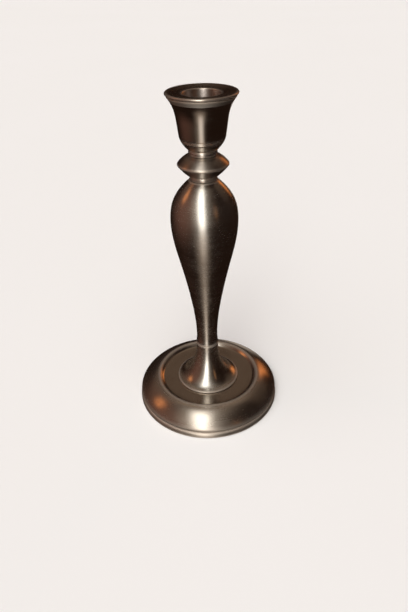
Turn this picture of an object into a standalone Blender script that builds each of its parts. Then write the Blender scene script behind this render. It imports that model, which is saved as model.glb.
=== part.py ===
"""Silver candlestick: turned and spun pieces stacked on one threaded rod.

Units are metres, +Z is up, and the origin is the centre of the felt's underside.
Every piece is turned about the Z axis. Heights run up from the table to the baluster
and down from the rim to it, so the baluster takes up any change in overall height.
A candle stands in a loose nozzle, which lifts out of the cup for cleaning.
"""

import math

import bmesh
import bpy
from mathutils import Vector

# Turning and general fits
SIDES = 32  # flat sides of a large turned piece
SMALL_SIDES = 16  # the same for the rod and the washers
WALL = 0.0012  # metal of the spun shells
GAP = 0.0003  # air between pieces that rest on each other
EDGE_BREAK = 0.0004  # small chamfer on handled edges
CORNER_ANGLE = math.radians(30)  # sharper corners than this are shaded sharp

# Overall sizes
OVERALL_HEIGHT = 0.2280
BASE_RADIUS = 0.0536

# Foot of the base
FOOT_RIM_WIDTH = 0.0022
FOOT_RIM_HEIGHT = 0.0042
FOOT_RIM_BULGE = 0.0012  # how far it swells out past the seam with the base shell
FOOT_RIM_LIFT = 0.0003  # the felt stands this far below the rim
SPIGOT_HEIGHT = 0.0013  # how far the rim reaches up inside the base shell
FELT_THICKNESS = 0.0012
PLATE_THICKNESS = 0.0010

# Domed base shell with a sunken ring round the stem
CUSHION_BULGE = 0.0006  # how far it swells out past the seam with the foot rim
CUSHION_BULGE_HEIGHT = 0.0024  # of its widest place above the seam
CUSHION_WIDTH = 0.0149  # from the widest place in to the crest
CUSHION_HEIGHT = 0.0136  # from the seam up to the crest
CREST_FLAT = 0.0010  # from the crest in to the sunken ring's edge
CREST_DROP = 0.0005
RING_SLOPE_WIDTH = 0.0030
RING_DEPTH = 0.0027
WEIGHT_CLEARANCE = 0.0004  # between the weight and the shell
POCKET_CLEARANCE = 0.0034  # room for a socket wrench round the lower washer

# Stem foot, a trumpet shape
STEM_FOOT_RADIUS = 0.0233
STEM_FOOT_EDGE = 0.0010
STEM_FOOT_HEIGHT = 0.0324
STEM_JOINT_RADIUS = 0.00805
STEM_SPIGOT_HEIGHT = 0.0030
FLANGE_THICKNESS = 0.0016  # the closed ends that the rod clamps

# Baluster, a hollow pear shape
WAIST_RADIUS = 0.0076
WAIST_HEIGHT = 0.0064  # from the joint up to the narrowest place
FLANK_RADIUS = 0.0182
FLANK_SLOPE = 0.24  # outward travel for each unit of height, where the flank is steepest
FLANK_BELOW_BELLY = 0.0260
BELLY_RADIUS = 0.0222
SHOULDER_HEIGHT = 0.0279  # from the belly up to the neck
BALUSTER_TOP_RADIUS = 0.0091

# Knop between two turned rings
LOWER_RING_RADIUS = 0.0086
LOWER_RING_HEIGHT = 0.0026
UPPER_RING_RADIUS = 0.0088
UPPER_RING_HEIGHT = 0.0034
RING_BEAD = 0.0002  # how far each ring swells at its middle
KNOP_RADIUS = 0.0162
KNOP_FOOT_RADIUS = 0.0097
KNOP_TOP_RADIUS = 0.0095
KNOP_HEIGHT = 0.0122
KNOP_EDGE_HEIGHT = 0.0067  # of its widest edge above its foot
KNOP_EDGE_ROUNDING = 0.0009

# Candle and its nozzle
CANDLE_RADIUS = 0.0110  # a standard 22 mm taper candle
CANDLE_CLEARANCE = 0.00015
SOCKET_DEPTH = 0.0215
NOZZLE_WALL = 0.0010
NOZZLE_FLOOR_CLEARANCE = 0.0012  # above the end of the rod
NOZZLE_RIM_OVERHANG = 0.0007  # past the lip of the cup
NOZZLE_RIM_THICKNESS = 0.0015
LIP_BEVEL = 0.0004  # slopes the rim and the lip apart where they meet at the outside
RIM_CREST_INSET = 0.0006
RIM_DISHING = 0.0010  # how far the rim falls towards the candle

# Cup that holds the nozzle
CUP_FOOT_RADIUS = 0.0096
CUP_BOWL_HEIGHT = 0.0083
CUP_STRAIGHT_HEIGHT = 0.0085  # from the bowl up to where the side turns outward
CUP_STRAIGHT_FLARE = 0.0011
CUP_LIP_FLARE = 0.0054
NOZZLE_CLEARANCE = 0.0010  # air round the nozzle inside the cup

# Tie rod and its fasteners
ROD_RADIUS = 0.0030
ROD_CLEARANCE = 0.0003
ROD_END = 0.0008  # rod that shows past each nut
NUT_FLAT_MARGIN = 0.0020  # from the rod out to the nut's flats
NUT_HEIGHT = 0.0040
NUT_POINTS = 24  # points round a nut's hole
WASHER_OVERHANG = 0.0036  # how far a washer reaches past the rod
WASHER_THICKNESS = 0.0010

# Radii that follow from those above
ROD_HOLE = ROD_RADIUS + ROD_CLEARANCE
WASHER_RADIUS = ROD_RADIUS + WASHER_OVERHANG
NUT_FLAT = ROD_RADIUS + NUT_FLAT_MARGIN
POCKET_RADIUS = WASHER_RADIUS + POCKET_CLEARANCE
BORE_RADIUS = CANDLE_RADIUS + CANDLE_CLEARANCE
NOZZLE_RADIUS = BORE_RADIUS + NOZZLE_WALL
CUP_BOWL_RADIUS = NOZZLE_RADIUS + NOZZLE_CLEARANCE + WALL
CUP_TURN_RADIUS = CUP_BOWL_RADIUS + CUP_STRAIGHT_FLARE
CUP_LIP_RADIUS = CUP_TURN_RADIUS + CUP_LIP_FLARE
NOZZLE_RIM_RADIUS = CUP_LIP_RADIUS + NOZZLE_RIM_OVERHANG
REBATE_RADIUS = BASE_RADIUS - FOOT_RIM_WIDTH
SEAM_RADIUS = BASE_RADIUS - FOOT_RIM_BULGE
SPIGOT_RADIUS = SEAM_RADIUS - WALL - GAP
SHELL_RADIUS = SEAM_RADIUS + CUSHION_BULGE
PLATE_RADIUS = REBATE_RADIUS - GAP
CREST_RADIUS = SHELL_RADIUS - CUSHION_WIDTH
RING_EDGE_RADIUS = CREST_RADIUS - CREST_FLAT
RING_FLOOR_RADIUS = RING_EDGE_RADIUS - RING_SLOPE_WIDTH
STEM_SPIGOT_RADIUS = min(STEM_JOINT_RADIUS, WAIST_RADIUS) - WALL - GAP

# Heights from the table up to the baluster
PLATE_BOTTOM = FELT_THICKNESS + GAP
PLATE_TOP = PLATE_BOTTOM + PLATE_THICKNESS
FOOT_RIM_TOP = FOOT_RIM_LIFT + FOOT_RIM_HEIGHT
SPIGOT_TOP = FOOT_RIM_TOP + SPIGOT_HEIGHT
SHELL_BOTTOM = FOOT_RIM_TOP + GAP
CREST_TOP = SHELL_BOTTOM + CUSHION_HEIGHT
RING_FLOOR = CREST_TOP - RING_DEPTH
STEM_FOOT_BOTTOM = RING_FLOOR + GAP
STEM_FOOT_TOP = STEM_FOOT_BOTTOM + STEM_FOOT_HEIGHT
BALUSTER_BOTTOM = STEM_FOOT_TOP + GAP

# Heights from the rim down to the baluster
BORE_TOP = OVERALL_HEIGHT - RIM_DISHING
SEAT_HEIGHT = BORE_TOP - SOCKET_DEPTH
NOZZLE_BOTTOM = SEAT_HEIGHT - NOZZLE_WALL
RIM_BOTTOM = OVERALL_HEIGHT - NOZZLE_RIM_THICKNESS
CUP_TOP = RIM_BOTTOM - GAP
ROD_TOP = NOZZLE_BOTTOM - NOZZLE_FLOOR_CLEARANCE
UPPER_NUT_BOTTOM = ROD_TOP - ROD_END - NUT_HEIGHT
UPPER_WASHER_BOTTOM = UPPER_NUT_BOTTOM - GAP - WASHER_THICKNESS
CUP_FLOOR = UPPER_WASHER_BOTTOM - GAP
CUP_BOTTOM = CUP_FLOOR - FLANGE_THICKNESS
UPPER_RING_BOTTOM = CUP_BOTTOM - GAP - UPPER_RING_HEIGHT
KNOP_BOTTOM = UPPER_RING_BOTTOM - GAP - KNOP_HEIGHT
LOWER_RING_BOTTOM = KNOP_BOTTOM - GAP - LOWER_RING_HEIGHT
BALUSTER_TOP = LOWER_RING_BOTTOM - GAP
BELLY_TOP = BALUSTER_TOP - SHOULDER_HEIGHT

# Heights of the lower fasteners, in the weight's pocket
ROD_BOTTOM = PLATE_TOP + GAP
LOWER_NUT_BOTTOM = ROD_BOTTOM + ROD_END
LOWER_WASHER_BOTTOM = LOWER_NUT_BOTTOM + NUT_HEIGHT + GAP
POCKET_TOP = LOWER_WASHER_BOTTOM + WASHER_THICKNESS + GAP


# Outlines are lists of (radius, height) points that run up the outside and down the inside.


def curve(start, end, leaving, arriving, steps):
    """A cubic Bezier curve. Its handles are shares of the width and the height between its ends."""
    a = Vector(start)
    d = Vector(end)
    across = d - a
    b = a + Vector((leaving[0] * across.x, leaving[1] * across.y))
    c = d - Vector((arriving[0] * across.x, arriving[1] * across.y))
    points = []
    for step in range(steps + 1):
        t = step / steps
        point = a * (1 - t) ** 3 + b * 3 * t * (1 - t) ** 2 + c * 3 * t * t * (1 - t) + d * t**3
        points.append((point.x, point.y))
    return points


def arc(centre, radius, first_degrees, last_degrees, steps):
    """Points on part of a circle."""
    points = []
    for step in range(steps + 1):
        turn = math.radians(first_degrees + (last_degrees - first_degrees) * step / steps)
        points.append((centre[0] + radius * math.cos(turn), centre[1] + radius * math.sin(turn)))
    return points


def chain(*runs):
    """Joins runs of points, leaving out a point that repeats the one before it."""
    joined = []
    for point in [point for run in runs for point in run]:
        if not joined or math.dist(point, joined[-1]) > 1e-6:
            joined.append(point)
    return joined


def inset(points, wall):
    """The same run moved a wall's thickness to the left of its travel, with mitred corners."""
    normals = []
    for here, there in zip(points, points[1:]):
        along = (Vector(there) - Vector(here)).normalized()
        normals.append(Vector((-along.y, along.x)))
    moved = []
    for point, before, after in zip(points, normals[:1] + normals, normals + normals[-1:]):
        step = (before + after) * wall / (1 + before.dot(after))
        moved.append((point[0] + step.x, point[1] + step.y))
    return moved


def up_to(points, height):
    """The part of a rising run that is below a height, ending exactly on it."""
    kept = []
    for here, there in zip(points, points[1:]):
        kept.append(here)
        if there[1] >= height:
            share = (height - here[1]) / (there[1] - here[1])
            return kept + [(here[0] + share * (there[0] - here[0]), height)]
    return kept + [points[-1]]


def down_to(points, height):
    """The part of a rising run that is above a height, starting exactly on it."""
    upside_down = [(radius, -level) for radius, level in reversed(points)]
    return [(radius, -level) for radius, level in reversed(up_to(upside_down, -height))]


def material(name, colour, roughness, metallic):
    """A plain Principled material."""
    made = bpy.data.materials.new(name)
    made.use_nodes = True
    shader = made.node_tree.nodes["Principled BSDF"]
    shader.inputs["Base Color"].default_value = (*colour, 1.0)
    shader.inputs["Roughness"].default_value = roughness
    shader.inputs["Metallic"].default_value = metallic
    made.diffuse_color = (*colour, 1.0)
    return made


def place(name, shape, bottom, finish, parent):
    """Makes the named object, on the Z axis at a height, from a bmesh that starts at zero."""
    bmesh.ops.recalc_face_normals(shape, faces=shape.faces)
    mesh = bpy.data.meshes.new(name)
    shape.to_mesh(mesh)
    shape.free()
    mesh.materials.append(finish)
    mesh.shade_smooth()
    mesh.set_sharp_from_angle(angle=CORNER_ANGLE)
    piece = bpy.data.objects.new(name, mesh)
    bpy.context.collection.objects.link(piece)
    piece.parent = parent
    piece.location.z = bottom


def turned(name, outline, finish, parent, sides=SIDES):
    """A solid of revolution. An outline that starts and ends on the axis stays open there."""
    bottom = min(height for _, height in outline)
    shape = bmesh.new()
    corners = [shape.verts.new((radius, 0, height - bottom)) for radius, height in outline]
    edges = [shape.edges.new(pair) for pair in zip(corners, corners[1:])]
    if outline[0][0] > 0:
        edges.append(shape.edges.new((corners[-1], corners[0])))
    bmesh.ops.spin(
        shape,
        geom=corners + edges,
        cent=(0, 0, 0),
        axis=(0, 0, 1),
        angle=math.tau,
        steps=sides,
        use_merge=True,
    )
    bmesh.ops.remove_doubles(shape, verts=shape.verts, dist=1e-6)
    place(name, shape, bottom, finish, parent)


def felt_pad(finish, parent):
    outline = [(0, 0), (PLATE_RADIUS, 0), (PLATE_RADIUS, FELT_THICKNESS), (0, FELT_THICKNESS)]
    turned("felt_pad", outline, finish, parent)


def bottom_plate(finish, parent):
    outline = [(0, PLATE_BOTTOM), (PLATE_RADIUS, PLATE_BOTTOM), (PLATE_RADIUS, PLATE_TOP), (0, PLATE_TOP)]
    turned("bottom_plate", outline, finish, parent)


def base_outside():
    """From the seam out to the widest place, over the cushion and down into the sunken ring."""
    widest = (SHELL_RADIUS, SHELL_BOTTOM + CUSHION_BULGE_HEIGHT)
    below = curve((SEAM_RADIUS, SHELL_BOTTOM), widest, leaving=(0.6, 0.25), arriving=(0, 0.5), steps=3)
    cushion = curve(widest, (CREST_RADIUS, CREST_TOP), leaving=(0, 0.24), arriving=(0.34, 0), steps=9)
    ring = [
        (RING_EDGE_RADIUS, CREST_TOP - CREST_DROP),
        (RING_FLOOR_RADIUS, RING_FLOOR),
        (ROD_HOLE, RING_FLOOR),
    ]
    return chain(below, cushion, ring)


def foot_rim(finish, parent):
    """A swollen ring with a rebate below for the plate and a spigot above for the base shell."""
    spigot_inside = SPIGOT_RADIUS - WALL
    ledge = PLATE_TOP + GAP
    bulge = curve(
        (BASE_RADIUS, FOOT_RIM_LIFT + EDGE_BREAK),
        (SEAM_RADIUS, FOOT_RIM_TOP),
        leaving=(0, 0.5),
        arriving=(0.7, 0.2),
        steps=5,
    )
    outline = [
        (REBATE_RADIUS, FOOT_RIM_LIFT),
        (BASE_RADIUS - EDGE_BREAK, FOOT_RIM_LIFT),
        *bulge,
        (SPIGOT_RADIUS, FOOT_RIM_TOP),
        (SPIGOT_RADIUS, SPIGOT_TOP),
        (spigot_inside, SPIGOT_TOP),
        (spigot_inside, ledge),
        (REBATE_RADIUS, ledge),
    ]
    turned("foot_rim", outline, finish, parent)


def base_shell(finish, parent):
    outside = base_outside()
    inside = down_to(inset(outside, WALL), SHELL_BOTTOM)
    turned("base_shell", outside + inside[::-1], finish, parent)


def base_weight(finish, parent):
    """A casting that fills the base above the plate, with a pocket for the lower nut."""
    bottom = PLATE_TOP + GAP
    side = SPIGOT_RADIUS - WALL - WEIGHT_CLEARANCE
    under_shell = inset(base_outside(), WALL + WEIGHT_CLEARANCE)
    top = [point for point in under_shell if point[0] < side - WEIGHT_CLEARANCE]
    outline = chain(
        [(POCKET_RADIUS, bottom), (side, bottom), (side, SPIGOT_TOP)],
        top,
        [(ROD_HOLE, POCKET_TOP), (POCKET_RADIUS, POCKET_TOP)],
    )
    turned("base_weight", outline, finish, parent)


def stem_foot(finish, parent):
    """A trumpet shell, closed at the top by a flange with a spigot for the baluster."""
    trumpet = curve(
        (STEM_FOOT_RADIUS, STEM_FOOT_BOTTOM + STEM_FOOT_EDGE),
        (STEM_JOINT_RADIUS, STEM_FOOT_TOP),
        leaving=(0.58, 0.045),
        arriving=(0, 0.54),
        steps=10,
    )
    outside = chain([(STEM_FOOT_RADIUS, STEM_FOOT_BOTTOM)], trumpet)
    flange = STEM_FOOT_TOP - FLANGE_THICKNESS
    spigot_top = STEM_FOOT_TOP + STEM_SPIGOT_HEIGHT
    inside = down_to(up_to(inset(outside, WALL), flange), STEM_FOOT_BOTTOM)
    outline = chain(
        outside,
        [(STEM_SPIGOT_RADIUS, STEM_FOOT_TOP), (STEM_SPIGOT_RADIUS, spigot_top)],
        [(ROD_HOLE, spigot_top), (ROD_HOLE, flange)],
        inside[::-1],
    )
    turned("stem_foot", outline, finish, parent)


def baluster_outside():
    """From the joint in to the waist, out to the belly and over the shoulder to the neck."""
    waist = (WAIST_RADIUS, BALUSTER_BOTTOM + WAIST_HEIGHT)
    flank = (FLANK_RADIUS, BELLY_TOP - FLANK_BELOW_BELLY)
    belly = (BELLY_RADIUS, BELLY_TOP)
    # Both curves that meet on the flank leave it along the same slope.
    below = 0.39
    below_across = FLANK_SLOPE * below * (flank[1] - waist[1]) / (flank[0] - waist[0])
    above = 0.27
    above_across = FLANK_SLOPE * above * (belly[1] - flank[1]) / (belly[0] - flank[0])
    return chain(
        curve((STEM_JOINT_RADIUS, BALUSTER_BOTTOM), waist, leaving=(0, 0.4), arriving=(0, 0.4), steps=3),
        curve(waist, flank, leaving=(0, 0.27), arriving=(below_across, below), steps=8),
        curve(flank, belly, leaving=(above_across, above), arriving=(0, 0.35), steps=4),
        curve(
            belly,
            (BALUSTER_TOP_RADIUS, BALUSTER_TOP),
            leaving=(0, 0.43),
            arriving=(0.79, 0.34),
            steps=8,
        ),
    )


def stem_shell(finish, parent):
    """The hollow baluster, open below and closed above by a flange."""
    outside = baluster_outside()
    flange = BALUSTER_TOP - FLANGE_THICKNESS
    outline = chain(
        outside,
        [(ROD_HOLE, BALUSTER_TOP), (ROD_HOLE, flange)],
        up_to(inset(outside, WALL), flange)[::-1],
    )
    turned("stem_shell", outline, finish, parent)


def neck_ring(name, radius, bottom, height, finish, parent):
    """A short turned ring whose side swells a little at its middle."""
    steps = 4
    side = [
        (radius + RING_BEAD * math.sin(math.pi * step / steps), bottom + height * step / steps)
        for step in range(steps + 1)
    ]
    outline = [(ROD_HOLE, bottom), *side, (ROD_HOLE, bottom + height)]
    turned(name, outline, finish, parent)


def knop(finish, parent):
    """Two cones, slightly swollen, meeting in a rounded edge and bored for the rod."""
    top = KNOP_BOTTOM + KNOP_HEIGHT
    centre = (KNOP_RADIUS - KNOP_EDGE_ROUNDING, KNOP_BOTTOM + KNOP_EDGE_HEIGHT)
    edge = arc(centre, KNOP_EDGE_ROUNDING, -50, 50, 3)
    lower = curve(
        (KNOP_FOOT_RADIUS, KNOP_BOTTOM), edge[0], leaving=(0.40, 0.28), arriving=(0.20, 0.25), steps=4
    )
    upper = curve(edge[-1], (KNOP_TOP_RADIUS, top), leaving=(0.20, 0.30), arriving=(0.33, 0.08), steps=4)
    outline = chain([(ROD_HOLE, KNOP_BOTTOM)], lower, edge, upper, [(ROD_HOLE, top)])
    turned("knop", outline, finish, parent)


def cup_outside():
    """From the foot round the bowl, up the side and out to the lip."""
    bowl = curve(
        (CUP_FOOT_RADIUS, CUP_BOTTOM),
        (CUP_BOWL_RADIUS, CUP_BOTTOM + CUP_BOWL_HEIGHT),
        leaving=(0.34, 0.19),
        arriving=(0.06, 0.43),
        steps=6,
    )
    lip = curve(
        (CUP_TURN_RADIUS, CUP_BOTTOM + CUP_BOWL_HEIGHT + CUP_STRAIGHT_HEIGHT),
        (CUP_LIP_RADIUS, CUP_TOP - LIP_BEVEL),
        leaving=(0.13, 0.43),
        arriving=(0.57, 0.28),
        steps=6,
    )
    return chain(bowl, lip)


def candle_cup(finish, parent):
    """A bell-shaped shell with a flat floor that the rod passes through."""
    outside = cup_outside()
    inside = [point for point in inset(outside, WALL) if point[1] > CUP_FLOOR + GAP]
    inside = up_to(inside, CUP_TOP)
    outline = chain(
        [(ROD_HOLE, CUP_BOTTOM)],
        outside,
        [(CUP_LIP_RADIUS - LIP_BEVEL, CUP_TOP), (inside[-1][0], CUP_TOP)],
        inside[::-1],
        [(CUP_FOOT_RADIUS - WALL, CUP_FLOOR), (ROD_HOLE, CUP_FLOOR)],
    )
    turned("candle_cup", outline, finish, parent)


def candle_nozzle(finish, parent):
    """The loose liner: a tube with a floor for the candle and a wide dished rim."""
    crest_radius = NOZZLE_RIM_RADIUS - RIM_CREST_INSET
    middle_radius = (BORE_RADIUS + NOZZLE_RIM_RADIUS) / 2
    outline = [
        (0, NOZZLE_BOTTOM),
        (NOZZLE_RADIUS - EDGE_BREAK, NOZZLE_BOTTOM),
        (NOZZLE_RADIUS, NOZZLE_BOTTOM + EDGE_BREAK),
        (NOZZLE_RADIUS, RIM_BOTTOM - RIM_DISHING / 2),
        (middle_radius, RIM_BOTTOM),
        (NOZZLE_RIM_RADIUS - LIP_BEVEL, RIM_BOTTOM),
        (NOZZLE_RIM_RADIUS, RIM_BOTTOM + LIP_BEVEL),
        (NOZZLE_RIM_RADIUS, OVERALL_HEIGHT - EDGE_BREAK),
        (crest_radius, OVERALL_HEIGHT),
        (middle_radius, BORE_TOP + RIM_DISHING / 3),
        (BORE_RADIUS + EDGE_BREAK, BORE_TOP),
        (BORE_RADIUS, BORE_TOP - EDGE_BREAK),
        (BORE_RADIUS, SEAT_HEIGHT),
        (0, SEAT_HEIGHT),
    ]
    turned("candle_nozzle", outline, finish, parent)


def tie_rod(finish, parent):
    outline = [
        (0, ROD_BOTTOM),
        (ROD_RADIUS - EDGE_BREAK, ROD_BOTTOM),
        (ROD_RADIUS, ROD_BOTTOM + EDGE_BREAK),
        (ROD_RADIUS, ROD_TOP - EDGE_BREAK),
        (ROD_RADIUS - EDGE_BREAK, ROD_TOP),
        (0, ROD_TOP),
    ]
    turned("tie_rod", outline, finish, parent, SMALL_SIDES)


def washer(name, bottom, finish, parent):
    top = bottom + WASHER_THICKNESS
    outline = [(ROD_HOLE, bottom), (WASHER_RADIUS, bottom), (WASHER_RADIUS, top), (ROD_HOLE, top)]
    turned(name, outline, finish, parent, SMALL_SIDES)


def nut(name, bottom, finish, parent):
    """A hexagon nut: a round hole and six flats, each ring bridged to the next."""
    shape = bmesh.new()
    rings = []
    for height, is_outside in ((0, False), (0, True), (NUT_HEIGHT, True), (NUT_HEIGHT, False)):
        ring = []
        for point in range(NUT_POINTS):
            turn = math.tau * point / NUT_POINTS
            from_flat = turn % (math.tau / 6) - math.tau / 12
            reach = NUT_FLAT / math.cos(from_flat) if is_outside else ROD_HOLE
            ring.append(shape.verts.new((reach * math.cos(turn), reach * math.sin(turn), height)))
        rings.append(ring)
    for first, second in zip(rings, rings[1:] + rings[:1]):
        for point in range(NUT_POINTS):
            after = (point + 1) % NUT_POINTS
            shape.faces.new((first[point], first[after], second[after], second[point]))
    place(name, shape, bottom, finish, parent)


def body_empty(name, height):
    """An empty on the Z axis, which carries the pieces of one body."""
    made = bpy.data.objects.new(name, None)
    bpy.context.collection.objects.link(made)
    made.location.z = height
    return made


def build():
    for old in list(bpy.data.objects):
        bpy.data.objects.remove(old)
    silver = material("silver", (0.60, 0.57, 0.53), 0.28, 1.0)
    steel = material("steel", (0.48, 0.47, 0.46), 0.40, 1.0)
    iron = material("iron", (0.09, 0.085, 0.08), 0.75, 0.6)
    felt = material("felt", (0.035, 0.060, 0.045), 0.95, 0.0)

    stand = body_empty("stand", 0)
    felt_pad(felt, stand)
    bottom_plate(steel, stand)
    foot_rim(silver, stand)
    base_shell(silver, stand)
    base_weight(iron, stand)
    stem_foot(silver, stand)
    stem_shell(silver, stand)
    neck_ring("lower_neck_ring", LOWER_RING_RADIUS, LOWER_RING_BOTTOM, LOWER_RING_HEIGHT, silver, stand)
    knop(silver, stand)
    neck_ring("upper_neck_ring", UPPER_RING_RADIUS, UPPER_RING_BOTTOM, UPPER_RING_HEIGHT, silver, stand)
    candle_cup(silver, stand)
    tie_rod(steel, stand)
    washer("rod_bottom_washer", LOWER_WASHER_BOTTOM, steel, stand)
    nut("rod_bottom_nut", LOWER_NUT_BOTTOM, steel, stand)
    washer("rod_top_washer", UPPER_WASHER_BOTTOM, steel, stand)
    nut("rod_top_nut", UPPER_NUT_BOTTOM, steel, stand)
    candle_nozzle(silver, None)


build()
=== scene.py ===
"""Looks of the silver candlestick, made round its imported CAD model.

Every turned piece is turned again from its CAD node's own outline, finer and with rounded
corners, and given its worn silver, steel, iron or felt. The cup also gets two scribed lines.
The tie rod, its nuts and its washers keep their CAD shape and get machined steel.
Units are metres.
"""

import math

import bpy
from mathutils import Matrix, Vector


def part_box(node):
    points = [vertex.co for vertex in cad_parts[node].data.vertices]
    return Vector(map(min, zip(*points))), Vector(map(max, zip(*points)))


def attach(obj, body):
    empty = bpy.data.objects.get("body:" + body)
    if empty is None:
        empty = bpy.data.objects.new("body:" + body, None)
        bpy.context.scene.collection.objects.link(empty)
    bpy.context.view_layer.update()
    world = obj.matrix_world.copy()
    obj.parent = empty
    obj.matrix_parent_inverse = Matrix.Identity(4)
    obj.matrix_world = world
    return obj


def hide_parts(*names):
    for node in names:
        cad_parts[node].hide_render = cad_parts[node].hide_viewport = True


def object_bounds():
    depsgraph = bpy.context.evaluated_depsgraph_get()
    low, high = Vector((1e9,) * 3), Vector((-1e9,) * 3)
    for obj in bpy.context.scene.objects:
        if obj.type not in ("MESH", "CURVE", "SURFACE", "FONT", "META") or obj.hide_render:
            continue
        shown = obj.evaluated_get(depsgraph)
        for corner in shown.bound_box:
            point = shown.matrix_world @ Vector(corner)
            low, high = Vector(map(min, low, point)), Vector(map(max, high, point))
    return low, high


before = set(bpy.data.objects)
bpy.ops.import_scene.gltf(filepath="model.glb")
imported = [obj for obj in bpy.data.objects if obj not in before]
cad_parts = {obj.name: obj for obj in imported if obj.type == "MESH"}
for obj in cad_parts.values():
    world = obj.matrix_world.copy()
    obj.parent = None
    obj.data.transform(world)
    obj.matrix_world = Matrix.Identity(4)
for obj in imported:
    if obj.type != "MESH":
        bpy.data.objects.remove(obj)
CAD_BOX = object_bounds()

# Camera, fitted to the angle from which the candlestick is seen
CAMERA_PLACE = (0.0, -0.3171, 0.2942)
CAMERA_PITCH = 0.59376  # downwards
CAMERA_YAW = -0.00571  # to the right
CAMERA_ROLL = -0.02655
CAMERA_LENS = 31.01  # millimetres
SENSOR = 36.0  # millimetres

# Turning
BASE_SIDES = 192  # steps round the axis
SIDES = 128
SMALL_SIDES = 96
ON_PLANE = 1e-7
TINY = 1e-6
SAMPLE = 0.0009  # length of one step along a curved outline
LONG_STRAIGHT = 6 * SAMPLE  # a straight stretch over this length gets a quarter of the steps
STRAIGHT = 1e-3  # radians
SHARP_TURN = math.radians(40)
TAKEOVER = 3.0  # a stretch this many times longer than the next sets the direction where they meet
CORNER_ROUND = 0.00034
CORNER_STEPS = 4
MOST_TRIM = 0.4  # the share of a stretch that one rounded corner may take
UPRIGHT = 0.3  # a face whose normal rises less than this stands upright
BORE_SLACK = 1.03  # the bore lies within this many times its least radius

# Collars, which close the gaps above and below the neck's pieces
COLLAR_RADIUS = 0.0066
COLLAR = 0.00026  # a little less than the gap

# Lines scribed round the cup: (height over its bottom, least radius, depth, width)
CUP_LINES = ((0.0060, 0.012, 0.00020, 0.0005), (0.0051, 0.011, 0.00016, 0.0004))
LINE_STEPS = 3  # on either side of a line's middle
LINE_ROOM = 0.55  # the outline's own points keep this share of a line's width from its middle

# Wear
WEAR_REACH = 0.0007  # how far along the outline an edge or a hollow counts as one
FULL_EDGE = 0.75  # radians of bend that make a full edge
FULL_HOLLOW = 1.2
LIP_BAND = 0.0033  # height of the matt band under the lip of the cup

# Scratches: the tilt and the scale of each set
SCRATCHES = (((0.5, 0.3, 0.9), 60.0), ((-0.7, 0.6, 0.2), 75.0), ((0.2, -0.8, -0.5), 90.0))
SCRATCH_STRETCH = (14.0, 1.2, 5.0)

# Floor and backdrop
FLOOR_HALF = 30.0
DOME_RADIUS = 12.0
DOME_SIDES = 48
DOME_LEVELS = 8

# The studio: soft panels of light round the object, given as directions seen from it.
# Azimuth runs from the camera's side, positive to its right, and a panel leans to the left
# as it rises. All its angles are in degrees. Each is
# (azimuth, elevation, lean, half-width, half-height, softness, strength, tint).
PANELS = (
    (-12, 29, 7, 10, 43, 0.75, 2.80, (1.00, 1.00, 0.96)),  # tall window panel
    (-14, 28, 7, 21, 42, 1.00, 0.46, (1.00, 0.92, 0.79)),  # its glow
    (-20, 20, 7, 40, 46, 1.00, 0.085, (1.00, 0.70, 0.50)),  # the wall round it
    (-6, -27, 0, 8, 20, 1.00, 0.75, (1.00, 0.88, 0.77)),  # light off a table in front
    (-10, -46, 0, 14, 16, 1.00, 0.26, (1.00, 0.76, 0.58)),  # and off its edge
    (0, 90, 0, 24, 24, 0.90, 0.20, (1.00, 0.80, 0.62)),  # ceiling
    (-80, 10, 0, 34, 38, 1.00, 0.14, (1.00, 0.46, 0.33)),  # warm wall on the left
    (-97, 32, 0, 6, 9, 0.90, 1.00, (1.00, 0.36, 0.11)),  # lamp on the left
    (144, 17, 0, 6, 13, 0.90, 1.20, (1.00, 0.34, 0.10)),  # lamp behind on the right
    (41, 17, 0, 3, 12, 0.90, 0.45, (1.00, 0.50, 0.24)),  # its small reflection in a pane
    (180, 58, 0, 50, 27, 0.70, 0.13, (1.00, 0.72, 0.52)),  # warm wall behind
    (168, -12, 0, 7, 14, 0.80, 0.45, (1.00, 0.88, 0.76)),  # small panel for the back
)
ROOM = (0.018, 0.0090, 0.0058)  # the dim light from every other direction


def camera():
    """The camera, set to the fitted view."""
    forward = Vector(
        (
            math.sin(CAMERA_YAW) * math.cos(CAMERA_PITCH),
            math.cos(CAMERA_YAW) * math.cos(CAMERA_PITCH),
            -math.sin(CAMERA_PITCH),
        )
    )
    level = Vector((math.cos(CAMERA_YAW), -math.sin(CAMERA_YAW), 0.0))
    rise = level.cross(forward)
    right = math.cos(CAMERA_ROLL) * level + math.sin(CAMERA_ROLL) * rise
    up = math.cos(CAMERA_ROLL) * rise - math.sin(CAMERA_ROLL) * level
    data = bpy.data.cameras.new("camera")
    data.sensor_width = SENSOR
    data.lens = CAMERA_LENS
    data.clip_start = 0.01
    made = bpy.data.objects.new("camera", data)
    turn = Matrix((right, up, -forward)).transposed().to_4x4()
    made.matrix_world = Matrix.Translation(CAMERA_PLACE) @ turn
    bpy.context.collection.objects.link(made)
    bpy.context.scene.camera = made


# ------------------------------------------------------------------ outlines


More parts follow.
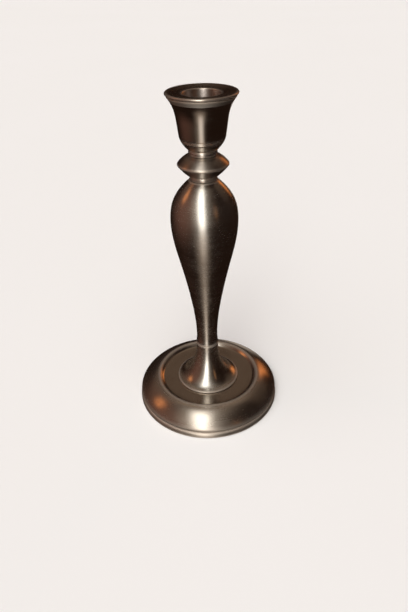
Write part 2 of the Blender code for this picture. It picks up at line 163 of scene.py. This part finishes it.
def outline_of(node):
    """The (radius, height) points where a turned CAD node meets the plane y = 0, anticlockwise.

    A solid with a hole gives a closed loop, which starts at its lowest, outermost point.
    One without runs from the axis, up the outside and back to the axis.
    """
    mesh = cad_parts[node].data

    def key(vertex):
        return (round(vertex.co.x, 6), round(vertex.co.z, 6))

    on_plane = {v.index for v in mesh.vertices if abs(v.co.y) < ON_PLANE and v.co.x > -ON_PLANE}
    joins = {}
    for edge in mesh.edges:
        if set(edge.vertices) <= on_plane:
            a, b = (key(mesh.vertices[i]) for i in edge.vertices)
            if a != b:
                joins.setdefault(a, set()).add(b)
                joins.setdefault(b, set()).add(a)
    ends = sorted(point for point in joins if len(joins[point]) == 1)
    start = min(ends, key=lambda p: p[1]) if ends else min(joins, key=lambda p: (p[1], -p[0]))
    path = [start]
    while True:
        onward = sorted(joins[path[-1]] - set(path))
        if not onward:
            break
        path.append(onward[0])
    area = sum(a[0] * b[1] - b[0] * a[1] for a, b in zip(path, path[1:] + path[:1]))
    if area < 0:
        path = path[::-1] if ends else path[:1] + path[:0:-1]
    return [Vector(point) for point in path], not ends


def direction_at(before, here, after):
    """The direction of a smooth outline at a point, where a much longer stretch sets its own."""
    first, second = here - before, after - here
    if first.length > TAKEOVER * second.length:
        return first.normalized()
    if second.length > TAKEOVER * first.length:
        return second.normalized()
    blend = first.normalized() * second.length + second.normalized() * first.length
    return blend.normalized()


def corners_and_ways(points, closed):
    """For each point, whether it is a sharp corner, and its direction if it is a smooth one."""
    corners, ways = [], []
    for i, here in enumerate(points):
        corner, way = False, None
        if closed or 0 < i < len(points) - 1:
            before, after = points[i - 1], points[(i + 1) % len(points)]
            corner = (here - before).angle(after - here) > SHARP_TURN
            way = None if corner else direction_at(before, here, after)
        corners.append(corner)
        ways.append(way)
    return corners, ways


def smooth(points, closed):
    """The outline with its curves filled in and its corners rounded."""
    corners, ways = corners_and_ways(points, closed)
    count = len(points)
    fine = []
    for i in range(count if closed else count - 1):
        j = (i + 1) % count
        a, b = points[i], points[j]
        chord = b - a
        straight_on = chord.normalized()
        trim = straight_on * min(CORNER_ROUND, chord.length * MOST_TRIM)
        start = a + trim if corners[i] else a
        end = b - trim if corners[j] else b
        if corners[i]:
            last = a - points[i - 1]
            back = last.normalized() * min(CORNER_ROUND, last.length * MOST_TRIM)
            for step in range(1, CORNER_STEPS):
                t = step / CORNER_STEPS
                fine.append((a - back) * (1 - t) ** 2 + a * 2 * t * (1 - t) + start * t**2)
        leave = straight_on if ways[i] is None else ways[i]
        arrive = straight_on if ways[j] is None else ways[j]
        length = (end - start).length
        steps = max(1, math.ceil(length / SAMPLE))
        straight = leave.angle(arrive) < STRAIGHT and leave.angle(chord) < STRAIGHT
        if straight and length > LONG_STRAIGHT:
            steps = max(2, steps // 4)
        for step in range(steps + 1):
            t = step / steps
            point = (
                start * (2 * t**3 - 3 * t**2 + 1)
                + leave * length * (t**3 - 2 * t**2 + t)
                + end * (3 * t**2 - 2 * t**3)
                + arrive * length * (t**3 - t**2)
            )
            if not fine or (point - fine[-1]).length > TINY:
                fine.append(point)
    if closed and (fine[0] - fine[-1]).length < TINY:
        fine.pop()
    return fine


def scribe(points, lines):
    """Cuts fine lines into the outside. Each is (height, least radius, depth, width)."""
    for height, least_radius, depth, width in lines:
        for i, (a, b) in enumerate(zip(points, points[1:])):
            if min(a.x, b.x) >= least_radius and b.y > a.y and a.y <= height <= b.y:
                break
        else:
            continue
        way = (b - a).normalized()
        out = Vector((way.y, -way.x))
        middle = a + (b - a) * (height - a.y) / (b.y - a.y)
        cut = []
        for step in range(-LINE_STEPS, LINE_STEPS + 1):
            share = step / LINE_STEPS
            dip = depth * 0.5 * (1 + math.cos(math.pi * share))
            cut.append(middle + way * width / 2 * share - out * dip)
        before = [p for p in points[: i + 1] if (p - middle).length > width * LINE_ROOM]
        after = [p for p in points[i + 1 :] if (p - middle).length > width * LINE_ROOM]
        points = before + cut + after
    return points


def seated(points, below, above):
    """The outline of a bored disc with a low collar at its hole, which closes a gap under or over it."""
    bottom, top = min(p.y for p in points), max(p.y for p in points)
    hole = min(p.x for p in points)
    kept = [p for p in points if p.x > hole + TINY]
    lower, upper = [(hole, bottom - below)], [(hole, top + above)]
    if below:
        lower += [(COLLAR_RADIUS, bottom - below), (COLLAR_RADIUS, bottom)]
    if above:
        upper = [(COLLAR_RADIUS, top), (COLLAR_RADIUS, top + above)] + upper
    return [Vector(p) for p in lower] + kept + [Vector(p) for p in upper]


def wear_of(points, closed):
    """For each point, its distance along the outline, and how far it is an edge and a hollow, up to 1."""
    count = len(points)
    along = [0.0]
    for a, b in zip(points, points[1:]):
        along.append(along[-1] + (b - a).length)
    total = along[-1] + ((points[0] - points[-1]).length if closed else 0)
    bends = []
    for i in range(count):
        if not closed and i in (0, count - 1):
            bends.append(0.0)
            continue
        first, second = points[i] - points[i - 1], points[(i + 1) % count] - points[i]
        # Positive where an anticlockwise outline turns left, which is an outer edge.
        bends.append(math.atan2(first.x * second.y - first.y * second.x, first.dot(second)))
    edges, hollows = [], []
    for here in along:
        edge = hollow = 0.0
        for place, bend in zip(along, bends):
            gap = abs(place - here)
            gap = min(gap, total - gap) if closed else gap
            if gap < 3 * WEAR_REACH:
                weight = math.exp(-((gap / WEAR_REACH) ** 2))
                edge += max(0.0, bend) * weight
                hollow += max(0.0, -bend) * weight
        edges.append(min(1.0, edge / FULL_EDGE))
        hollows.append(min(1.0, hollow / FULL_HOLLOW))
    return along, edges, hollows


# ------------------------------------------------------------------ turning


def turned_mesh(name, points, closed, sides):
    """The mesh of an outline turned round the axis, with its wear kept as attributes."""
    corners, sources, rings, faces = [], [], [], []
    for i, point in enumerate(points):
        ring = []
        for side in range(1 if point.x < TINY else sides):
            turn = math.tau * side / sides
            ring.append(len(corners))
            corners.append((point.x * math.cos(turn), point.x * math.sin(turn), point.y))
            sources.append(i)
        rings.append(ring)
    pairs = list(zip(rings, rings[1:])) + ([(rings[-1], rings[0])] if closed else [])
    for low, high in pairs:
        for side in range(sides):
            after = (side + 1) % sides
            if len(low) == 1:
                faces.append((low[0], high[after], high[side]))
            elif len(high) == 1:
                faces.append((low[side], low[after], high[0]))
            else:
                faces.append((low[side], low[after], high[after], high[side]))
    mesh = bpy.data.meshes.new(name)
    mesh.from_pydata(corners, [], faces)
    for attribute, values in zip(("along", "edge", "hollow"), wear_of(points, closed)):
        layer = mesh.attributes.new(attribute, "FLOAT", "POINT")
        layer.data.foreach_set("value", [values[i] for i in sources])
    mesh.shade_smooth()
    return mesh


def turned(node, sides, finish, body, lines=(), collars=None):
    """A piece turned from a CAD node's outline, riding on its body in its place."""
    rough, closed = outline_of(node)
    if collars:
        rough = seated(rough, *collars)
    points = scribe(smooth(rough, closed), lines)
    mesh = turned_mesh(node + "_turned", points, closed, sides)
    mesh.materials.append(finish)
    piece = bpy.data.objects.new(node + "_turned", mesh)
    bpy.context.collection.objects.link(piece)
    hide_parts(node)
    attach(piece, body)
    return piece


def line_bore(piece, finish):
    """Gives the inside of a tube its own finish: the upright faces nearest to its axis."""
    mesh = piece.data
    mesh.materials.append(finish)
    upright = [face for face in mesh.polygons if abs(face.normal.z) < UPRIGHT]
    bore = min(math.hypot(*face.center.xy) for face in upright)
    for face in upright:
        if math.hypot(*face.center.xy) < bore * BORE_SLACK:
            face.material_index = 1


# ------------------------------------------------------------------ materials


class Nodes:
    """A short way to add and join the shader nodes of a material or of the world."""

    def __init__(self, owner):
        owner.use_nodes = True
        self.owner = owner
        self.tree = owner.node_tree

    def put(self, socket, value):
        if isinstance(value, bpy.types.NodeSocket):
            self.tree.links.new(value, socket)
        else:
            socket.default_value = value

    def shade(self, name, value):
        """Sets or joins one of the material's own shader inputs."""
        self.put(self.tree.nodes["Principled BSDF"].inputs[name], value)

    def add(self, kind, inputs=None, **settings):
        node = self.tree.nodes.new(kind)
        for name, value in settings.items():
            setattr(node, name, value)
        for name, value in (inputs or {}).items():
            self.put(node.inputs[name], value)
        return node

    def math(self, operation, *values):
        inputs = dict(enumerate(values))
        return self.add("ShaderNodeMath", inputs, operation=operation).outputs[0]

    def ramp(self, value, low, high, to_low=0.0, to_high=1.0):
        inputs = {"Value": value, "From Min": low, "From Max": high, "To Min": to_low, "To Max": to_high}
        return self.add("ShaderNodeMapRange", inputs, interpolation_type="SMOOTHSTEP").outputs[0]

    def mix(self, share, first, second):
        """A blend of two colours, which are a Mix node's inputs 6 and 7."""
        inputs = {0: share, 6: first, 7: second}
        return self.add("ShaderNodeMix", inputs, data_type="RGBA").outputs[2]

    def noise(self, where, scale, detail=2.0, roughness=0.5):
        inputs = {"Vector": where, "Scale": scale, "Detail": detail, "Roughness": roughness}
        return self.add("ShaderNodeTexNoise", inputs).outputs["Fac"]

    def attribute(self, name):
        return self.add("ShaderNodeAttribute", attribute_name=name).outputs["Fac"]

    def place(self):
        """The position on the piece itself, which goes with it when it moves."""
        return self.add("ShaderNodeTexCoord").outputs["Object"]

    def height(self, place):
        return self.add("ShaderNodeSeparateXYZ", {"Vector": place}).outputs[2]

    def bump(self, height, distance, under=None):
        inputs = {"Height": height, "Distance": distance, "Strength": 1.0}
        if under is not None:
            inputs["Normal"] = under
        return self.add("ShaderNodeBump", inputs).outputs[0]


def material_nodes(name):
    return Nodes(bpy.data.materials.new(name))


def colour(red, green, blue):
    return (red, green, blue, 1.0)


def line_maker(n, place):
    """A function that draws noise out round the axis, as a lathe leaves its lines."""
    split = n.add("ShaderNodeSeparateXYZ", {"Vector": place})
    x, y = split.outputs[0], split.outputs[1]
    radius = n.math("SQRT", n.math("ADD", n.math("MULTIPLY", x, x), n.math("MULTIPLY", y, y)))
    radius = n.math("MAXIMUM", radius, 0.0005)
    round_x = n.math("DIVIDE", x, radius)
    round_y = n.math("DIVIDE", y, radius)
    along = n.attribute("along")

    def lines(per_metre, around):
        inputs = {
            "X": n.math("MULTIPLY", round_x, around),
            "Y": n.math("MULTIPLY", round_y, around),
            "Z": n.math("MULTIPLY", along, per_metre),
        }
        return n.noise(n.add("ShaderNodeCombineXYZ", inputs).outputs[0], 1.0, 2.0, 0.6)

    return lines


def scratches(n, place):
    """Thin threads, in patches, where stretched noise crosses its middle value."""
    threads = 0.0
    for tilt, scale in SCRATCHES:
        inputs = {"Vector": place, "Rotation": tilt, "Scale": SCRATCH_STRETCH}
        stretched = n.add("ShaderNodeMapping", inputs).outputs[0]
        wave = n.noise(stretched, scale, 1.0, 0.4)
        off_middle = n.math("ABSOLUTE", n.math("SUBTRACT", wave, 0.5))
        thread = n.ramp(off_middle, 0.0, 0.007, 1.0, 0.0)
        patch = n.ramp(n.noise(place, scale * 2.4, 1.0), 0.56, 0.64)
        threads = n.math("MAXIMUM", threads, n.math("MULTIPLY", thread, patch))
    return threads


def tarnish(n, place, blotches, edge, stained, brown_below):
    """How dark the silver is made, from 0 to 1: most in its hollows, least on its edges, and more towards
    the bottom where brown_below is given.
    """
    hollow = n.attribute("hollow")
    shut_in = n.add("ShaderNodeAmbientOcclusion", {"Distance": 0.004}, samples=8)
    crevice = n.ramp(shut_in.outputs["AO"], 0.30, 0.85, 1.0, 0.0)
    stain = n.ramp(blotches, 0.48, 0.74)
    darkening = n.math("MAXIMUM", n.math("MULTIPLY", crevice, 0.4), n.math("MULTIPLY", hollow, 0.3))
    darkening = n.math("MAXIMUM", darkening, n.math("ADD", n.math("MULTIPLY", stain, 0.16), stained))
    # Where brown_below is given, the piece is made darker and browner towards its bottom.
    if brown_below is not None:
        low_down = n.ramp(n.height(place), brown_below * 0.25, brown_below, 0.20, 0.0)
        darkening = n.math("ADD", darkening, low_down)
    specks = n.noise(place, 420.0, 3.0, 0.6)
    darkening = n.math("MULTIPLY", darkening, n.ramp(specks, 0.22, 0.62, 0.86, 1.0))
    return n.math("MULTIPLY", darkening, n.math("SUBTRACT", 1.0, n.math("MULTIPLY", edge, 0.8)))


def brushed(n, amount):
    """Draws reflections out across lines that run round the axis."""
    n.shade("Anisotropic", amount)
    n.shade("Anisotropic Rotation", 0.25)
    n.shade("Tangent", n.add("ShaderNodeTangent", direction_type="RADIAL", axis="Z").outputs[0])


def silver(
    name,
    bright=(0.64, 0.62, 0.58),
    dull=(0.24, 0.18, 0.14),
    polish=0.20,
    stained=0.15,
    rubbed=0.34,
    matt_above=None,
    brown_below=None,
):
    """Old plated silver, with turning lines round its axis.

    Its roughness is polish where it is clean, and its edges gain rubbed on top of that.
    Stained is the least that it has tarnished. It is matt above one height, if given, and
    browner below another.
    """
    n = material_nodes(name)
    place = n.place()
    lines = line_maker(n, place)
    fine, broad = lines(5200.0, 0.9), lines(700.0, 0.5)
    blotches = n.noise(place, 55.0, 4.0, 0.62)
    threads = scratches(n, place)
    edge = n.attribute("edge")
    darkening = tarnish(n, place, blotches, edge, stained, brown_below)

    base = n.mix(darkening, colour(*bright), colour(*dull))
    base = n.mix(n.math("MULTIPLY", threads, 0.25), base, colour(0.80, 0.77, 0.72))
    base = n.mix(n.math("MULTIPLY", edge, 0.7), base, colour(0.68, 0.58, 0.49))
    n.shade("Base Color", base)
    # Rubbed edges have lost their gloss and scatter a little light.
    n.shade("Metallic", n.math("SUBTRACT", 1.0, n.math("MULTIPLY", edge, rubbed * 0.5)))

    rough = n.math("ADD", polish, n.math("MULTIPLY", darkening, 0.20))
    rough = n.math("ADD", rough, n.math("MULTIPLY", edge, rubbed))
    rough = n.math("ADD", rough, n.ramp(blotches, 0.3, 0.7, -0.03, 0.05))
    rough = n.math("ADD", rough, n.ramp(broad, 0.35, 0.65, -0.015, 0.02))
    if matt_above is not None:
        matt = n.ramp(n.height(place), matt_above - 0.0002, matt_above + 0.0002, 0.0, 0.42)
        rough = n.math("ADD", rough, matt)
    n.shade("Roughness", n.math("MAXIMUM", rough, 0.08))
    brushed(n, 0.5)

    dents = n.add("ShaderNodeTexVoronoi", {"Vector": place, "Scale": 95.0, "Randomness": 1.0})
    pits = n.ramp(dents.outputs["Distance"], 0.0, 0.10, -1.0, 0.0)
    normal = n.bump(fine, 0.0000015)
    normal = n.bump(broad, 0.0000025, under=normal)
    normal = n.bump(threads, 0.000003, under=normal)
    normal = n.bump(pits, 0.000005, under=normal)
    normal = n.bump(n.noise(place, 26.0, 1.0), 0.00010, under=normal)
    n.shade("Normal", normal)
    return n.owner


def reamed():
    """The inside of the socket: its lines run round it, so that light stretches up and down it."""
    n = material_nodes("reamed_silver")
    place = n.place()
    fast = n.math("MULTIPLY", n.height(place), 4000.0)
    rings = n.noise(n.add("ShaderNodeCombineXYZ", {"Z": fast}).outputs[0], 1.0)
    stain = n.ramp(n.noise(place, 140.0, 3.0), 0.45, 0.75, 0.0, 0.5)
    n.shade("Base Color", n.mix(stain, colour(0.70, 0.62, 0.58), colour(0.40, 0.30, 0.25)))
    n.shade("Metallic", 1.0)
    n.shade("Roughness", n.ramp(rings, 0.3, 0.7, 0.40, 0.50))
    brushed(n, 0.9)
    n.shade("Normal", n.bump(rings, 0.000003))
    return n.owner


def steel():
    """Plain machined steel with a grey oxide bloom."""
    n = material_nodes("machined_steel")
    place = n.place()
    bloom = n.noise(place, 180.0, 4.0, 0.6)
    base = n.mix(n.ramp(bloom, 0.35, 0.7), colour(0.50, 0.49, 0.48), colour(0.20, 0.18, 0.16))
    n.shade("Base Color", base)
    n.shade("Metallic", 1.0)
    n.shade("Roughness", n.ramp(bloom, 0.2, 0.8, 0.34, 0.55))
    n.shade("Normal", n.bump(n.noise(place, 900.0, 3.0), 0.00003))
    return n.owner


def iron():
    """A rough sand casting, with patches of rust."""
    n = material_nodes("cast_iron")
    place = n.place()
    grain = n.noise(place, 900.0, 5.0, 0.65)
    rust = n.ramp(n.noise(place, 90.0, 4.0), 0.52, 0.72)
    bare = n.mix(grain, colour(0.05, 0.05, 0.05), colour(0.13, 0.12, 0.11))
    n.shade("Base Color", n.mix(rust, bare, colour(0.17, 0.07, 0.03)))
    n.shade("Metallic", n.ramp(rust, 0.0, 1.0, 0.55, 0.0))
    n.shade("Roughness", 0.72)
    n.shade("Normal", n.bump(grain, 0.0003))
    return n.owner


def felt():
    """Pressed wool felt: short fibres, flecks and a soft sheen."""
    n = material_nodes("green_felt")
    place = n.place()
    fibres = n.noise(place, 2600.0, 4.0, 0.7)
    flecks = n.noise(place, 700.0, 3.0, 0.6)
    base = n.mix(n.ramp(fibres, 0.3, 0.7), colour(0.018, 0.036, 0.026), colour(0.050, 0.085, 0.062))
    base = n.mix(n.ramp(flecks, 0.60, 0.72, 0.0, 0.6), base, colour(0.10, 0.13, 0.10))
    n.shade("Base Color", base)
    n.shade("Roughness", 0.95)
    n.shade("Sheen Weight", 0.5)
    n.shade("Sheen Roughness", 0.4)
    n.shade("Normal", n.bump(fibres, 0.0002))
    return n.owner


# ------------------------------------------------------------------ floor, backdrop and lights


def staged(name, corners, faces, finish):
    """A piece of the set. The metal doesn't mirror it, as the metal is seen in a dim room."""
    mesh = bpy.data.meshes.new(name)
    mesh.from_pydata(corners, [], faces)
    mesh.materials.append(finish)
    made = bpy.data.objects.new(name, mesh)
    made.visible_glossy = False
    made.visible_shadow = False
    bpy.context.collection.objects.link(made)
    return made


def floor():
    """A plain pale floor."""
    n = material_nodes("pale_floor")
    cloud = n.noise(n.place(), 1.5, 2.0)
    n.shade("Base Color", n.mix(cloud, colour(0.90, 0.89, 0.87), colour(0.92, 0.91, 0.90)))
    n.shade("Roughness", 0.9)
    n.shade("Specular IOR Level", 0.0)
    half, level = FLOOR_HALF, CAD_BOX[0][2]
    corners = [(-half, -half, level), (half, -half, level), (half, half, level), (-half, half, level)]
    staged("floor", corners, [(0, 1, 2, 3)], n.owner)


def backdrop():
    """A plain pale dome far behind everything, which only the camera sees."""
    n = material_nodes("pale_backdrop")
    cloud = n.noise(n.place(), 0.2, 1.0)
    n.shade("Emission Color", n.mix(cloud, colour(0.80, 0.79, 0.77), colour(0.84, 0.83, 0.82)))
    n.shade("Emission Strength", 1.0)
    n.shade("Base Color", colour(0, 0, 0))
    n.shade("Specular IOR Level", 0.0)
    n.owner.cycles.emission_sampling = "NONE"
    corners, faces = [], []
    for level in range(DOME_LEVELS + 1):
        tilt = math.pi / 2 * level / DOME_LEVELS
        radius, height = DOME_RADIUS * math.cos(tilt), DOME_RADIUS * math.sin(tilt)
        for side in range(DOME_SIDES):
            turn = math.tau * side / DOME_SIDES
            corners.append((radius * math.cos(turn), radius * math.sin(turn), height))
    for level in range(DOME_LEVELS):
        for side in range(DOME_SIDES):
            a = level * DOME_SIDES + side
            b = level * DOME_SIDES + (side + 1) % DOME_SIDES
            faces.append((a, a + DOME_SIDES, b + DOME_SIDES, b))
    staged("backdrop", corners, faces, n.owner).visible_diffuse = False


def panel_light(n, way, azimuth, elevation, lean, half_width, half_height, softness, strength, tint):
    """What one panel adds to the light from a direction."""
    turn, tilt, slant = math.radians(azimuth), math.radians(elevation), math.radians(lean)
    centre = Vector((math.sin(turn) * math.cos(tilt), -math.cos(turn) * math.cos(tilt), math.sin(tilt)))
    level = Vector((math.cos(turn), math.sin(turn), 0.0))
    upright = centre.cross(level)
    rise = math.cos(slant) * upright - math.sin(slant) * level
    side = math.cos(slant) * level + math.sin(slant) * upright

    def share_along(axis):
        return n.add("ShaderNodeVectorMath", {0: way, 1: axis}, operation="DOT_PRODUCT").outputs["Value"]

    def inside(angle, half, edge):
        across = n.math("MULTIPLY", angle, math.degrees(1) / half)
        return n.ramp(n.math("ABSOLUTE", across), 1.0 - edge, 1.0 + edge, 1.0, 0.0)

    in_width = inside(n.math("ARCSINE", share_along(side)), half_width, softness)
    up = n.math("ARCTAN2", share_along(rise), share_along(centre))
    in_height = inside(up, half_height, softness / 2)
    inputs = {0: [channel * strength for channel in tint], "Scale": n.math("MULTIPLY", in_width, in_height)}
    return n.add("ShaderNodeVectorMath", inputs, operation="SCALE").outputs[0]


def studio():
    """A dim room with soft panels, all in the world's own directions."""
    world = bpy.data.worlds.new("studio")
    n = Nodes(world)
    way = n.add("ShaderNodeTexCoord").outputs["Generated"]
    light = ROOM
    for panel in PANELS:
        inputs = {0: light, 1: panel_light(n, way, *panel)}
        light = n.add("ShaderNodeVectorMath", inputs, operation="ADD").outputs[0]
    n.put(n.tree.nodes["Background"].inputs["Color"], light)
    bpy.context.scene.world = world


def sky_light():
    """Even light for the floor, which the metal doesn't mirror."""
    data = bpy.data.lights.new("ceiling", "SUN")
    data.energy = 2.0
    data.angle = math.radians(70)
    data.color = (0.93, 0.96, 1.0)
    made = bpy.data.objects.new("ceiling", data)
    made.rotation_euler = (math.radians(18), math.radians(-12), 0)
    made.visible_glossy = False
    bpy.context.collection.objects.link(made)


def lights():
    studio()
    sky_light()
    bpy.context.scene.view_settings.view_transform = "Standard"


# ------------------------------------------------------------------ the candlestick


def base():
    """The broad hollow foot and the rim it is turned over."""
    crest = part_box("base_shell")[1][2]
    # Its silver is made darker and browner towards the bottom, below the crest.
    low = silver("base_silver", bright=(0.60, 0.55, 0.49), polish=0.15, rubbed=0.40, brown_below=crest)
    turned("base_shell", BASE_SIDES, low, "stand")
    turned("foot_rim", BASE_SIDES, low, "stand")


def stem():
    worn = silver("worn_silver", rubbed=0.30)
    turned("stem_foot", SIDES, worn, "stand")
    turned("stem_shell", SIDES, worn, "stand")


def neck():
    """The knop between its two rings, with collars in the gaps."""
    ring = silver("ring_silver", polish=0.16, stained=0.25, rubbed=0.16)
    dull = silver("dull_silver", dull=(0.17, 0.12, 0.09), polish=0.20, stained=0.62, rubbed=0.15)
    turned("lower_neck_ring", SMALL_SIDES, ring, "stand", collars=(COLLAR, 0))
    turned("knop", SIDES, dull, "stand", collars=(COLLAR, COLLAR))
    turned("upper_neck_ring", SMALL_SIDES, ring, "stand", collars=(0, COLLAR))


def cup_and_nozzle():
    """The cup, with its scribed lines and a matt band under its lip, and the loose nozzle in it."""
    bottom, top = (corner[2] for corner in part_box("candle_cup"))
    glossy = silver("cup_silver", polish=0.13, stained=0.12, rubbed=0.08, matt_above=top - LIP_BAND)
    lines = [(bottom + rise, *line) for rise, *line in CUP_LINES]
    turned("candle_cup", SIDES, glossy, "stand", lines=lines)
    brown = silver("rim_silver", dull=(0.20, 0.12, 0.08), polish=0.16, stained=0.55, rubbed=0.12)
    nozzle = turned("candle_nozzle", SIDES, brown, "nozzle")
    line_bore(nozzle, reamed())


def inside_and_underside():
    """The felt, the plate and the weight under it, and the rod that holds the candlestick together."""
    machined = steel()
    turned("felt_pad", SIDES, felt(), "stand")
    turned("bottom_plate", SIDES, machined, "stand")
    turned("base_weight", SMALL_SIDES, iron(), "stand")
    for node in ("tie_rod", "rod_bottom_washer", "rod_bottom_nut", "rod_top_washer", "rod_top_nut"):
        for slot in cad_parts[node].material_slots:
            slot.material = machined


camera()
lights()
floor()
backdrop()
base()
stem()
neck()
cup_and_nozzle()
inside_and_underside()
